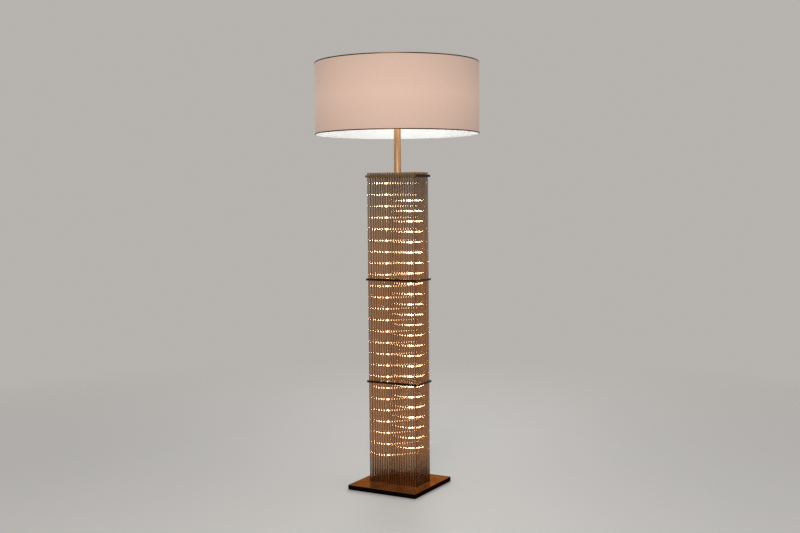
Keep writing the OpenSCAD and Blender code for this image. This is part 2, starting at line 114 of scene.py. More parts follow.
def reckon(tree, how, *values):
    """The result of one sum, named as the Math node names it."""
    feeds = {f"_{place}": value for place, value in enumerate(values)}
    return grow(tree, "ShaderNodeMath", {"operation": how}, **feeds).outputs[0]


def along_axis(tree, vector, axis):
    """One part of a vector: 0, 1 or 2 for X, Y or Z."""
    return grow(tree, "ShaderNodeSeparateXYZ", _0=vector).outputs[axis]


def blend_of(made, share, low, high, how="MIX"):
    """The colour between low and high that share picks, or the two joined in another way."""
    mixed = put(made, "Mix", {"data_type": "RGBA", "blend_type": how}, _0=share, _6=low, _7=high)
    return mixed.outputs[2]


def spread(made, value, low, high, start=0.0, end=1.0):
    """Carries value from the range low to high over to start to end, and holds it there."""
    ranged = put(made, "MapRange", Value=value, From_Min=low, From_Max=high, To_Min=start, To_Max=end)
    return ranged.outputs[0]


def grain_of(made, vector, scale, detail, **more):
    """Noise with this many grains to the metre of its vector."""
    return put(made, "TexNoise", Vector=vector, Scale=scale, Detail=detail, **more).outputs[0]


def stretched(made, vector, scale):
    """A vector scaled along X, Y and Z, so that a noise on it draws out into lines."""
    return put(made, "Mapping", Vector=vector, Scale=scale).outputs[0]


def bump(made, height, strength, depth):
    """Presses a pattern into the surface, depth deep where height goes from 0 to 1."""
    feed(made, put(made, "Bump", Height=height, Strength=strength, Distance=depth).outputs[0], "Normal")


def brushed(name, colour, rough, lines, worn=0.25, edge=None, ends=None, metal=1.0, **sockets):
    """Metal with brushed lines. lines gives how many there are to the metre along X, Y and Z, and worn how
    much its cloudy patches darken it. edge is a painted shade: the darker colour painted on its upright sides,
    and ends the same for the sides across X."""
    made = finish(name, colour, rough, metal, **sockets)
    tree = made.node_tree
    where = put(made, "TexCoord")
    place, facing = where.outputs["Object"], where.outputs["Normal"]
    fine = grain_of(made, stretched(made, place, lines), 1.0, 4.0, Roughness=0.65)
    broad_lines = tuple(part * 0.12 for part in lines)
    broad = grain_of(made, stretched(made, place, broad_lines), 1.0, 3.0)
    tone = spread(made, reckon(tree, "ADD", fine, broad), 0.7, 1.3, 0.78, 1.08)
    cloud = grain_of(made, place, 14.0, 5.0, Roughness=0.6)
    dark = tuple(part * (1 - worn) for part in colour[:3]) + (1,)
    patchy = blend_of(made, spread(made, cloud, 0.35, 0.68), dark, colour)
    face = blend_of(made, 1.0, patchy, tone, "MULTIPLY")
    # Painted shade: upright sides, and sides across X, are painted darker by which way they face.
    if edge:
        lying = reckon(tree, "ABSOLUTE", along_axis(tree, facing, 2))
        face = blend_of(made, spread(made, lying, 0.2, 0.6), edge, face)
    if ends:
        across = reckon(tree, "ABSOLUTE", along_axis(tree, facing, 0))
        face = blend_of(made, spread(made, across, 0.4, 0.8), face, ends)
    feed(made, face, "Base Color")
    feed(made, spread(made, fine, 0.3, 0.7, rough - 0.06, rough + 0.08), "Roughness")
    bump(made, fine, 0.12, 0.0002)
    return made


def dress(made, *names):
    """Gives CAD nodes a finish."""
    for name in names:
        nodes[name].data.materials.clear()
        nodes[name].data.materials.append(made)


# The edge colour is painted shade: the base's upright sides are painted near black.
base_brass = brushed("base brass", seen_as(156, 98, 56), 0.2, (14, 900, 900), 0.45, metal=0.7,
                     edge=seen_as(14, 13, 12), Specular_IOR_Level=0.0, Specular_Tint=seen_as(210, 178, 166))
dress(base_brass, "base_plate")

# ---- Under the base ------------------------------------------------------------------------------
# A sheet steel cover lies in a rebate of the base and closes its pocket. Four countersunk screws
# hold it, and four rubber pads carry the lamp. A rubber grommet lines the cord's hole at the rear.


def solid(name, mesh, made, body, slot, *stands_for):
    """Makes a finished piece of the lamp from a mesh: its finish, its body, and what it stands for."""
    piece = bpy.data.objects.new(name, mesh)
    bpy.context.scene.collection.objects.link(piece)
    if not mesh.materials:
        mesh.materials.append(made)
    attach(piece, body)
    if stands_for:
        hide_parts(*stands_for)
    return piece


def smooth(mesh, angle=35):
    """Shades a mesh smooth up to an edge of this many degrees."""
    mesh.shade_smooth()
    mesh.set_sharp_from_angle(angle=math.radians(angle))
    return mesh


def turned(outline, sides=64, radius_at=None):
    """Turns an outline of (radius, height) points round the Z axis. An outline whose ends both lie on
    the axis, or whose last point is its first, gives a closed solid. radius_at changes a radius by
    its angle and height, for a knurl or a thread."""
    made = bmesh.new()
    rings = []
    for radius, height in outline:
        if radius == 0:
            rings.append([made.verts.new((0, 0, height))])
            continue
        ring = []
        for side in range(sides):
            angle = 2 * math.pi * side / sides
            reach = radius_at(radius, height, angle) if radius_at else radius
            ring.append(made.verts.new((reach * math.cos(angle), reach * math.sin(angle), height)))
        rings.append(ring)
    for low, high in zip(rings, rings[1:]):
        if len(low) + len(high) == 2:
            continue
        for side in range(sides):
            after = (side + 1) % sides
            corners = [low[side % len(low)], low[after % len(low)],
                       high[after % len(high)], high[side % len(high)]]
            made.faces.new(list(dict.fromkeys(corners)))
    bmesh.ops.remove_doubles(made, verts=made.verts, dist=1e-7)
    bmesh.ops.recalc_face_normals(made, faces=made.faces)
    mesh = bpy.data.meshes.new("turned")
    made.to_mesh(mesh)
    made.free()
    return smooth(mesh)


def copies(mesh, places):
    """One mesh with a copy of the given one at each place. A place is a matrix."""
    made = bmesh.new()
    for place in places:
        part = mesh.copy()
        part.transform(place)
        made.from_mesh(part)
    joined = bpy.data.meshes.new("copies")
    made.to_mesh(joined)
    made.free()
    return smooth(joined)


def square(distance, height):
    """The four places at that distance from the middle along X and Y, at a height."""
    return [Matrix.Translation((x * distance, y * distance, height)) for x in (-1, 1) for y in (-1, 1)]


def moulded(name, colour, rough):
    """A matt moulded surface with a fine grain, for rubber and plastic."""
    made = finish(name, colour, rough)
    place = put(made, "TexCoord").outputs["Object"]
    cloud = grain_of(made, place, 40.0, 3.0)
    light = tuple(min(1, part * 1.5 + 0.004) for part in colour[:3]) + (1,)
    feed(made, blend_of(made, cloud, colour, light), "Base Color")
    feed(made, spread(made, cloud, 0.3, 0.7, rough - 0.08, rough + 0.08), "Roughness")
    bump(made, grain_of(made, place, 900.0, 3.0), 0.2, 0.0002)
    return made


black_rubber = moulded("black rubber", seen_as(42, 41, 40), 0.75)
low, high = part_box("foot_pads")
pad_r = 0.013
pad = turned([(0, 0.0004), (0.0090, 0.0004), (0.0094, 0), (0.0124, 0), (pad_r, 0.0006),
              (pad_r, high.z), (0, high.z)])
pads = copies(pad, square(high.x - pad_r, 0))
solid("foot_pad_set", pads, black_rubber, "stand", "black_rubber", "foot_pads")

zinc = brushed("zinc plated steel", seen_as(186, 190, 194), 0.34, (500, 500, 500), 0.2)
dress(zinc, "base_cover")


def cross_screw(head_r, shank_r, length):
    """A countersunk screw, head down at z = 0, with a cross recess in its face."""
    flat = head_r - shank_r
    screw = bpy.data.objects.new("screw", turned(
        [(0, 0), (head_r - 0.0001, 0), (head_r, 0.0001), (shank_r, flat + 0.0001),
         (shank_r, length - 0.0005), (shank_r * 0.6, length), (0, length)], 24))
    bpy.context.scene.collection.objects.link(screw)
    for turn in (0, 90):
        blade_shape = bmesh.new()
        bmesh.ops.create_cube(blade_shape, size=1, matrix=Matrix.Rotation(math.radians(turn), 4, "Z")
                              @ Matrix.Diagonal((0.0034, 0.0007, 0.0018, 1)))
        blade = bpy.data.objects.new("blade", bpy.data.meshes.new("blade"))
        blade_shape.to_mesh(blade.data)
        blade_shape.free()
        bpy.context.scene.collection.objects.link(blade)
        cut = screw.modifiers.new("cut", "BOOLEAN")
        cut.operation, cut.object, cut.solver = "DIFFERENCE", blade, "EXACT"
        shape = bpy.data.meshes.new_from_object(screw.evaluated_get(bpy.context.evaluated_depsgraph_get()))
        screw.modifiers.clear()
        screw.data = shape
        bpy.data.objects.remove(blade)
    bpy.data.objects.remove(screw)
    return shape


low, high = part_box("cover_screws")
screw_head_r = 0.0028
screws = copies(cross_screw(screw_head_r, 0.0015, high.z - low.z), square(high.x - screw_head_r, low.z))
solid("cover_screw_set", screws, zinc, "stand", "steel", "cover_screws")

low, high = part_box("cable_grommet")
rear, level, flange_r = nodes["base_plate"].bound_box[6][1], (low.z + high.z) / 2, (high.x - low.x) / 2
lip = high.y - rear
grommet = turned([(0.004, -0.009), (0.0055, -0.009), (0.0055, -0.0002), (flange_r, -0.0002),
                  (flange_r, lip * 0.5), (flange_r - 0.0006, lip * 0.9), (flange_r - 0.0014, lip),
                  (0.0048, lip), (0.0042, lip * 0.7), (0.004, lip * 0.2), (0.004, -0.009)], 48)
grommet.transform(Matrix.Translation((0, rear, level)) @ Matrix.Rotation(math.radians(-90), 4, "X"))
solid("inlet_grommet", grommet, black_rubber, "stand", "black_rubber", "cable_grommet")

# ---- In the pocket -------------------------------------------------------------------------------
# The light strings' driver and the terminal block for the mains wires lie in the base's pocket.
# Both are moulded white plastic, and the wires go up from them in the inner tube.
white_plastic = moulded("white plastic", seen_as(226, 223, 214), 0.45)
dress(white_plastic, "led_driver", "terminal_block")
dress(black_rubber, "wiring_loom")

# ---- Stem ----------------------------------------------------------------------------------------
# A steel tube runs up the middle and clamps base, brass tubes and plates between two nuts. The top
# brass tube is brushed lengthwise, those in the cage are spun smooth, and bushes keep all central.
satin_brass = brushed("satin brass", seen_as(214, 170, 128), 0.46, (1400, 1400, 12), 0.08)
spun_brass = brushed("spun brass", seen_as(214, 168, 124), 0.16, (60, 60, 1600), 0.12,
                     Anisotropic=0.9, Anisotropic_Rotation=0.25)
turned_brass = brushed("turned brass", seen_as(192, 138, 92), 0.32, (60, 60, 1600), 0.12)
dress(zinc, "core_tube", "stack_washers", "stack_nuts")
dress(turned_brass, "centring_bushes")
tube_wall, tube_edge = 0.0015, 0.0002
for name in ("lower", "middle", "upper", "top"):
    node = "stem_tube_" + name
    low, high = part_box(node)
    outer, inner = high.x, high.x - tube_wall
    tube = turned([(inner, low.z), (outer - tube_edge, low.z), (outer, low.z + tube_edge),
                   (outer, high.z - tube_edge), (outer - tube_edge, high.z), (inner, high.z),
                   (inner, low.z)], 72)
    brass = satin_brass if name == "top" else spun_brass
    solid("stem_sleeve_" + name, tube, brass, "stand", "satin_brass", node)
dress(turned_brass, "stem_cap")

# ---- Plates --------------------------------------------------------------------------------------
# Two bronze plates, 9 mm thick, part the tiers, and a third one closes the cage. Their faces are brushed and a
# little mottled. The upright sides of the two lower plates, and the short ends of the top one, are painted
# dark as shade. Every rod has its socket in them.
bronze_plate = brushed("brushed bronze", seen_as(158, 112, 66), 0.24, (30, 1400, 1400), 0.45,
                       edge=seen_as(58, 38, 25))
# The top plate's short ends are painted dark as shade.
aged_brass = brushed("aged brass", seen_as(144, 111, 72), 0.42, (260, 260, 120), 0.4,
                     ends=seen_as(44, 28, 14))
dress(bronze_plate, "plate_lower", "plate_middle")
dress(aged_brass, "plate_top")

# ---- Glass rods ----------------------------------------------------------------------------------
# Solid glass rods with ground tips stand close together along all four sides of each tier. They are
# drawn, so faint streaks run along them. Each row is one rod set out in a line, first to last.
rod_r, rod_bevel, ground_tip, rod_sides = 0.004, 0.0006, 0.0024, 16
clear_glass = finish("clear glass", (0.97, 0.985, 0.98, 1), 0.0, Transmission_Weight=1.0, IOR=1.5,
                     Specular_Tint=(0, 0, 0, 1))
tree = clear_glass.node_tree
place = put(clear_glass, "TexCoord").outputs["Object"]
rise = along_axis(tree, place, 2)
streaks = grain_of(clear_glass, stretched(clear_glass, place, (500, 500, 5)), 1.0, 2.0)

# A painted shade tints each rod smoky brown along its middle and clearer towards its edges, standing in for
# dark surroundings seen through the glass. It is browner in the two lower tiers, standing in for their warm
# light.
streak = spread(clear_glass, streaks, 0.3, 0.7)
pale_painted_shade = blend_of(clear_glass, streak, (0.38, 0.32, 0.26, 1), (0.32, 0.265, 0.21, 1))
warm_painted_shade = blend_of(clear_glass, streak, (0.30, 0.21, 0.145, 1), (0.25, 0.175, 0.12, 1))
high_up = spread(clear_glass, rise, 0.80, 1.15)
painted_shade = blend_of(clear_glass, high_up, warm_painted_shade, pale_painted_shade)
clear = blend_of(clear_glass, high_up, (0.84, 0.70, 0.56, 1), (1.0, 0.97, 0.93, 1))
turned_away = spread(clear_glass, put(clear_glass, "LayerWeight", Blend=0.5).outputs["Facing"], 0.1, 0.45)
feed(clear_glass, blend_of(clear_glass, turned_away, painted_shade, clear), "Base Color")

# A painted glow in the rods' own finish stands in for the strings' light on them: most of it near a string,
# none below or above them.
string_out = 0.052
mirrored = put(clear_glass, "VectorMath", {"operation": "ABSOLUTE"}, _0=place).outputs[0]
off = put(clear_glass, "VectorMath", {"operation": "SUBTRACT"}, _0=mirrored, _1=(string_out, 0, 0)).outputs[0]
level_off = put(clear_glass, "VectorMath", {"operation": "MULTIPLY"}, _0=off, _1=(1, 1, 0)).outputs[0]
from_string = put(clear_glass, "VectorMath", {"operation": "LENGTH"}, _0=level_off).outputs["Value"]
painted_glow = reckon(tree, "MULTIPLY", spread(clear_glass, from_string, 0.05, 0.085, 1.0, 0.3),
                spread(clear_glass, streaks, 0.3, 0.7, 0.6, 1.4))
for unlit, lit in ((0.06, 0.16), (1.22, 0.90)):
    painted_glow = reckon(tree, "MULTIPLY", painted_glow, spread(clear_glass, rise, unlit, lit, 0.1, 1.0))
feed(clear_glass, blend_of(clear_glass, painted_glow, (0, 0, 0, 1), (1.0, 0.44, 0.18, 1)), "Emission Color")
glass_shader = tree.nodes["Principled BSDF"]
glass_shader.inputs["Emission Strength"].default_value = 0.075
clear_glass.cycles.emission_sampling = "NONE"
shadow_ray = put(clear_glass, "LightPath").outputs["Is Shadow Ray"]
open_glass = put(clear_glass, "BsdfTransparent", Color=(0.93, 0.95, 0.94, 1)).outputs[0]
seen_glass = put(clear_glass, "MixShader", _0=shadow_ray, _1=glass_shader.outputs[0], _2=open_glass).outputs[0]
tree.links.new(seen_glass, tree.nodes["Material Output"].inputs["Surface"])

ground_glass = finish("ground glass", seen_as(180, 152, 114), 0.5, Transmission_Weight=0.25, IOR=1.5)
pits = grain_of(ground_glass, put(ground_glass, "TexCoord").outputs["Object"], 2500.0, 3.0)
feed(ground_glass, blend_of(ground_glass, pits, seen_as(150, 124, 90), seen_as(204, 178, 140)), "Base Color")
bump(ground_glass, pits, 0.4, 0.0001)


def named_tree(name, **inputs):
    """A new tree of geometry nodes with these inputs, by name, each with its kind. Returns the tree,
    its inputs by name, and the socket that its result goes to."""
    tree = bpy.data.node_groups.new(name, "GeometryNodeTree")
    for label, kind in inputs.items():
        tree.interface.new_socket(label, in_out="INPUT", socket_type="NodeSocket" + kind)
    tree.interface.new_socket("Geometry", in_out="OUTPUT", socket_type="NodeSocketGeometry")
    asked, made = tree.nodes.new("NodeGroupInput"), tree.nodes.new("NodeGroupOutput")
    return tree, asked.outputs, made.inputs[0]


def grown(tree, **values):
    """Runs a tree with these input values, and returns what it makes as a plain mesh."""
    carrier = bpy.data.objects.new("carrier", bpy.data.meshes.new("carrier"))
    bpy.context.scene.collection.objects.link(carrier)
    modifier = carrier.modifiers.new("tree", "NODES")
    modifier.node_group = tree
    for item in tree.interface.items_tree:
        if item.in_out == "INPUT" and item.name in values:
            modifier[item.identifier] = values[item.name]
    bpy.context.view_layer.update()
    mesh = bpy.data.meshes.new_from_object(carrier.evaluated_get(bpy.context.evaluated_depsgraph_get()))
    bpy.data.objects.remove(carrier)
    return mesh


# A rod is a short line of four levels, widened to a tube: its foot, where its tip begins, where the
# tip's bevel begins, and its top, which is the one level that is narrower.
rod_row, asked, made_row = named_tree(
    "rod row", Rods="Int", First="Vector", Step="Vector", Length="Float", Radius="Float", Bevel="Float",
    Ground="Float", Sides="Int", Glass="Material", Tip="Material")
places = grow(rod_row, "GeometryNodeMeshLine", Count=asked["Rods"], Start_Location=asked["First"],
              Offset=asked["Step"]).outputs[0]
levels = grow(rod_row, "GeometryNodeMeshLine", Count=4).outputs[0]
number = grow(rod_row, "GeometryNodeInputIndex").outputs[0]
tip_from = reckon(rod_row, "SUBTRACT", asked["Length"], asked["Ground"])
bevel_from = reckon(rod_row, "SUBTRACT", asked["Ground"], asked["Bevel"])
top = 0.0
for step, more in enumerate((tip_from, bevel_from, asked["Bevel"])):
    past = grow(rod_row, "FunctionNodeCompare", {"data_type": "INT", "operation": "GREATER_THAN"},
                _2=number, _3=step).outputs[0]
    top = reckon(rod_row, "MULTIPLY_ADD", past, more, top)
levelled = grow(rod_row, "GeometryNodeSetPosition", Geometry=levels,
                Position=grow(rod_row, "ShaderNodeCombineXYZ", _2=top).outputs[0]).outputs[0]
spine = grow(rod_row, "GeometryNodeMeshToCurve", _0=levelled).outputs[0]
width = reckon(rod_row, "SUBTRACT", asked["Radius"], reckon(rod_row, "MULTIPLY", past, asked["Bevel"]))
round_line = grow(rod_row, "GeometryNodeCurvePrimitiveCircle", Resolution=asked["Sides"],
                  Radius=1.0).outputs[0]
rod = grow(rod_row, "GeometryNodeCurveToMesh", Curve=spine, Profile_Curve=round_line, Scale=width,
           Fill_Caps=True).outputs[0]
stood = grow(rod_row, "GeometryNodeInstanceOnPoints", Points=places, Instance=rod).outputs[0]
real = grow(rod_row, "GeometryNodeRealizeInstances", Geometry=stood).outputs[0]
glazed = grow(rod_row, "GeometryNodeSetMaterial", Geometry=real, Material=asked["Glass"]).outputs[0]
height = along_axis(rod_row, grow(rod_row, "GeometryNodeInputPosition").outputs[0], 2)
above_foot = reckon(rod_row, "SUBTRACT", height, along_axis(rod_row, asked["First"], 2))
at_tip = reckon(rod_row, "GREATER_THAN", above_foot, tip_from)
tipped = grow(rod_row, "GeometryNodeSetMaterial", Geometry=glazed, Selection=at_tip, Material=asked["Tip"])
rod_row.links.new(tipped.outputs[0], made_row)

for tier, tip in (("lower", clear_glass), ("middle", clear_glass), ("upper", ground_glass)):
    for side, rods in (("front", 20), ("back", 20), ("left", 9), ("right", 9)):
        node = f"rods_{tier}_{side}"
        low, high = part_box(node)
        first = Vector((low.x + rod_r, low.y + rod_r, low.z))
        last = Vector((high.x - rod_r, high.y - rod_r, low.z))
        row = grown(rod_row, Rods=rods, First=first, Step=(last - first) / (rods - 1), Length=high.z - low.z,
                    Radius=rod_r, Bevel=rod_bevel, Ground=ground_tip, Sides=rod_sides,
                    Glass=clear_glass, Tip=tip)
        solid(f"glass_{tier}_{side}", smooth(row, 30), clear_glass, "stand", "clear_glass", node)

# ---- Light strings -------------------------------------------------------------------------------
# Two thin brass rods stand inside the cage, one to each side of the stem. Small warm lamps are
# threaded on them, each a lit band between two turned brass caps, brighter on its outer side.
dress(satin_brass, "string_rods")
warm_light = finish("warm light", seen_as(255, 238, 205), 0.3, Emission_Strength=62.0)
tree = warm_light.node_tree
where = put(warm_light, "TexCoord")
haze = grain_of(warm_light, where.outputs["Object"], 180.0, 2.0)
lit = blend_of(warm_light, haze, (1.0, 0.72, 0.48, 1), (1.0, 0.82, 0.62, 1))
outer_side = reckon(tree, "SIGN", along_axis(tree, where.outputs["Object"], 0))
outwards = reckon(tree, "MULTIPLY", outer_side, along_axis(tree, where.outputs["Normal"], 0))
share = spread(warm_light, outwards, 0.1, 0.75, 0.4, 1.0)
feed(warm_light, blend_of(warm_light, 1.0, lit, share, "MULTIPLY"), "Emission Color")

# A lamp of the string is a barrel for its band and a cone for each cap. Lit picks the band.
light_string, asked, made_string = named_tree(
    "light string", Lights="Int", First="Vector", Step="Vector", Width="Float", Height="Float",
    Band="Float", Lit="Bool", Finish="Material")
places = grow(light_string, "GeometryNodeMeshLine", Count=asked["Lights"], Start_Location=asked["First"],
              Offset=asked["Step"]).outputs[0]
cap_r = reckon(light_string, "MULTIPLY", asked["Width"], 0.5)
band_r = reckon(light_string, "MULTIPLY", cap_r, 0.75)
cap_end_r = reckon(light_string, "MULTIPLY", cap_r, 0.55)
half_band = reckon(light_string, "MULTIPLY", asked["Band"], 0.5)
both_caps = reckon(light_string, "SUBTRACT", asked["Height"], asked["Band"])
cap_h = reckon(light_string, "MULTIPLY", both_caps, 0.5)
band = grow(light_string, "GeometryNodeMeshCylinder", Vertices=20, Radius=band_r,
            Depth=asked["Band"]).outputs[0]
cap = grow(light_string, "GeometryNodeMeshCone", Vertices=20, Radius_Top=cap_end_r, Radius_Bottom=cap_r,
           Depth=cap_h).outputs[0]
upper = grow(light_string, "GeometryNodeTransform", Geometry=cap,
             Translation=grow(light_string, "ShaderNodeCombineXYZ", _2=half_band).outputs[0]).outputs[0]
lower = grow(light_string, "GeometryNodeTransform", Geometry=upper, Rotation=(math.pi, 0, 0)).outputs[0]
caps = grow(light_string, "GeometryNodeJoinGeometry")
for one in (upper, lower):
    light_string.links.new(one, caps.inputs[0])
shape = grow(light_string, "GeometryNodeSwitch", {"input_type": "GEOMETRY"}, Switch=asked["Lit"],
             _1=caps.outputs[0], _2=band).outputs[0]
strung = grow(light_string, "GeometryNodeInstanceOnPoints", Points=places, Instance=shape).outputs[0]
real = grow(light_string, "GeometryNodeRealizeInstances", Geometry=strung).outputs[0]
coated = grow(light_string, "GeometryNodeSetMaterial", Geometry=real, Material=asked["Finish"])
light_string.links.new(coated.outputs[0], made_string)

lights, light_h, band_h = 25, 0.010, 0.0054
for side in ("left", "right"):
    node = "lights_" + side
    low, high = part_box(node)
    middle = (low + high) / 2
    first = Vector((middle.x, middle.y, low.z + light_h / 2))
    step = Vector((0, 0, (high.z - low.z - light_h) / (lights - 1)))
    sizes = dict(Lights=lights, First=first, Step=step, Width=high.x - low.x, Height=light_h, Band=band_h)
    bands = grown(light_string, Lit=True, Finish=warm_light, **sizes)
    solid(f"light_bands_{side}", smooth(bands, 60), warm_light, "stand", "warm_light", node)
    ends = grown(light_string, Lit=False, Finish=turned_brass, **sizes)
    solid(f"light_caps_{side}", smooth(ends, 40), turned_brass, "stand", "satin_brass")

# ---- Lamp head -----------------------------------------------------------------------------------
# A turned brass body on top of the stem carries three lampholders of black phenolic. Each is
# screwed on with a steel nipple, and has a ribbed band round its mouth.
dress(turned_brass, "cluster_body")
dress(zinc, "holder_nipples")
head_z, holder_out, holder_ribs = 1.491, 0.024, 36
holder_turns = {"rear": 90, "left": 210, "right": 330}
black_phenolic = moulded("black phenolic", seen_as(46, 44, 43), 0.38)


def outwards_at(turn, distance):
    """The place of a piece that is drawn along Z, so that it points outwards at the lampholders' height."""
    return (Matrix.Rotation(math.radians(turn), 4, "Z") @ Matrix.Translation((distance, 0, head_z))
            @ Matrix.Rotation(math.radians(90), 4, "Y"))


def ribbed(radius, height, angle):
    """Ribs round the band behind the mouth."""
    banded = 0.0405 < height < 0.0525 and radius > 0.0175
    return radius - 0.0006 * (0.5 - 0.5 * math.cos(holder_ribs * angle)) if banded else radius


skirt = [(0.0120 + 0.0075 * math.sin(math.radians(a)), 0.021 * (1 - math.cos(math.radians(a))))
         for a in range(0, 91, 10)]
ribs = [(0.0195, 0.0385), (0.0180, 0.0402), (0.0180, 0.0410), (0.0186, 0.0414), (0.0186, 0.0516),
        (0.0180, 0.0520)]
mouth = [(0.0195, 0.0535), (0.0195, 0.0546), (0.0191, 0.0550), (0.0137, 0.0550), (0.0133, 0.0546),
         (0.0133, 0.029), (0, 0.029)]
holder = turned([(0, 0), *skirt, *ribs, *mouth], 144, ribbed)
holders = copies(holder, [outwards_at(turn, holder_out) for turn in holder_turns.values()])
solid("lampholder_set", holders, black_phenolic, "stand", "black_plastic", "lampholders")

# ---- Bulbs ---------------------------------------------------------------------------------------
# Three opal globes of 60 mm, lit warm white. Each has a rolled metal cap with its thread and a small
# contact at its end, and turns in its lampholder.
opal = finish("lit opal glass", seen_as(255, 250, 240), 0.18, Emission_Strength=8.5)
place = put(opal, "TexCoord").outputs["Object"]
around = put(opal, "VectorMath", {"operation": "MULTIPLY"}, _0=place, _1=(1, 1, 0)).outputs[0]
reach = put(opal, "VectorMath", {"operation": "LENGTH"}, _0=around).outputs["Value"]
warm_white = blend_of(opal, spread(opal, reach, 0.08, 0.15), (1.0, 0.86, 0.72, 1), (1.0, 0.93, 0.84, 1))
feed(opal, warm_white, "Emission Color")
nickel = brushed("rolled nickel", seen_as(200, 198, 190), 0.28, (300, 300, 300), 0.2)
bulb_out, cap_r, cap_end, pitch, thread_depth = 0.0533, 0.0132, 0.026, 0.00362, 0.0006
thread_from, thread_to, run_out = 0.006, 0.023, 0.002


def rolled(radius, height, angle):
    """A round thread, rolled into the cap between its two plain ends."""
    if radius < cap_r * 0.9 or not thread_from < height < thread_to:
        return radius
    fade = min(1, (height - thread_from) / run_out, (thread_to - height) / run_out)
    return radius - thread_depth * fade * (0.5 + 0.5 * math.cos(2 * math.pi * height / pitch - angle))


shell = [(cap_r * 0.985, thread_from + (thread_to - thread_from) * step / 68) for step in range(69)]
cap = turned([(0, 0), (0.0030, 0), (0.0045, 0.0012), (0.0045, 0.002), (0.0098, 0.0032), (0.0122, 0.005),
              *shell, (cap_r * 0.985, cap_end), (0, cap_end)], 48, rolled)
globe_r, collar_r, collar_to, bulb_l = 0.030, 0.0145, 0.030, 0.108
middle = bulb_l - globe_r
touch = (math.atan2(collar_to - middle, collar_r)
         + math.acos(globe_r / math.hypot(collar_r, collar_to - middle)))
bulge = [(globe_r * math.cos(a), middle + globe_r * math.sin(a))
         for a in (touch + (math.pi / 2 - touch) * step / 32 for step in range(32))]
globe = turned([(0, cap_end), (collar_r - 0.0006, cap_end), (collar_r, cap_end + 0.0006),
                (collar_r, collar_to), *bulge, (0, bulb_l)])
for side, turn in holder_turns.items():
    for label, mesh, made, slot in (("cap", cap, nickel, "steel"), ("globe", globe, opal, "opal")):
        placed = mesh.copy()
        placed.transform(outwards_at(turn, bulb_out))
        solid(f"lamp_{side}_{label}", placed, made, "bulb_" + side, slot, f"bulb_{side}_{label}")

# ---- Shade carrier -------------------------------------------------------------------------------
# A brass rod stands in the top of the inner tube. A collar on it carries the shade's hub, which
# has three arms, and a turned knob on top holds the shade down.
dress(turned_brass, "shade_seat", "spider")
dress(satin_brass, "shade_rod")
low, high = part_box("finial")
knob_r, neck_r, foot = (high.x - low.x) / 2, 0.006, low.z
hole_r, hole_depth = 0.0046, 0.0125
ball = high.z - knob_r
waist = math.acos(neck_r / knob_r)
crown = [(knob_r * math.cos(a), ball + knob_r * math.sin(a))
         for a in (-waist + (math.pi / 2 + waist) * step / 24 for step in range(24))]
knob = turned([(hole_r, foot), (0.0086, foot), (0.0090, foot + 0.0004), (0.0090, foot + 0.0016),
               (0.0086, foot + 0.002), (0.0072, foot + 0.0022), (0.0062, foot + 0.0027), *crown,
               (0, high.z), (0, foot + hole_depth), (hole_r, foot + hole_depth), (hole_r, foot)], 72)
solid("shade_knob", knob, turned_brass, "finial", "satin_brass", "finial")

# ---- Shade ---------------------------------------------------------------------------------------
# A drum of linen bonded to a white lining, glued into a thin bronze channel at both edges, painted white
# inside. The cloth is one strip, lapped at the rear. The bulbs light its inside, and the cloth carries a
# painted glow as well.
low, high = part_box("shade_fabric")
cloth_r, cloth_t, sides = high.x, 0.0015, 256
foot, head = low.z, high.z
linen = finish("lit linen", seen_as(186, 160, 148), 0.85, Sheen_Weight=0.2, Sheen_Roughness=0.5)
tree = linen.node_tree
cloth_place = put(linen, "UVMap").outputs[0]
warp, weft = (put(linen, "TexNoise", {"noise_dimensions": "2D"}, Vector=stretched(linen, cloth_place, lines),
                  Scale=1.0, Detail=3.0).outputs[0] for lines in ((900, 60, 1), (60, 900, 1)))
cloth = reckon(tree, "ADD", warp, weft)
threads = blend_of(linen, spread(linen, cloth, 0.7, 1.3), seen_as(181, 155, 142), seen_as(190, 164, 150))
feed(linen, threads, "Base Color")
bump(linen, cloth, 0.2, 0.0003)

# A painted glow on the cloth stands in for the bulbs' light through it: strongest a little below the middle of
# the cloth, at their own height.
brightest = 0.135
from_brightest = reckon(tree, "SUBTRACT", along_axis(tree, cloth_place, 1), brightest)
glow = spread(linen, reckon(tree, "ABSOLUTE", from_brightest), 0.0, 0.15, 1.0, 0.6)
feed(linen, blend_of(linen, 1.0, (1.0, 0.635, 0.455, 1), glow, "MULTIPLY"), "Emission Color")
tree.nodes["Principled BSDF"].inputs["Emission Strength"].default_value = 0.25

# The lining's faint emission is a painted glow, added to the bulbs' own light on it.
lining = finish("white lining", seen_as(246, 243, 236), 0.5, Emission_Strength=0.2)
pores = grain_of(lining, put(lining, "TexCoord").outputs["Object"], 700.0, 3.0)
feed(lining, blend_of(lining, pores, seen_as(238, 238, 235), seen_as(245, 245, 243)), "Base Color")
feed(lining, blend_of(lining, pores, (0.88, 0.94, 1.0, 1), (0.90, 0.95, 1.0, 1)), "Emission Color")
bump(lining, pores, 0.04, 0.00005)


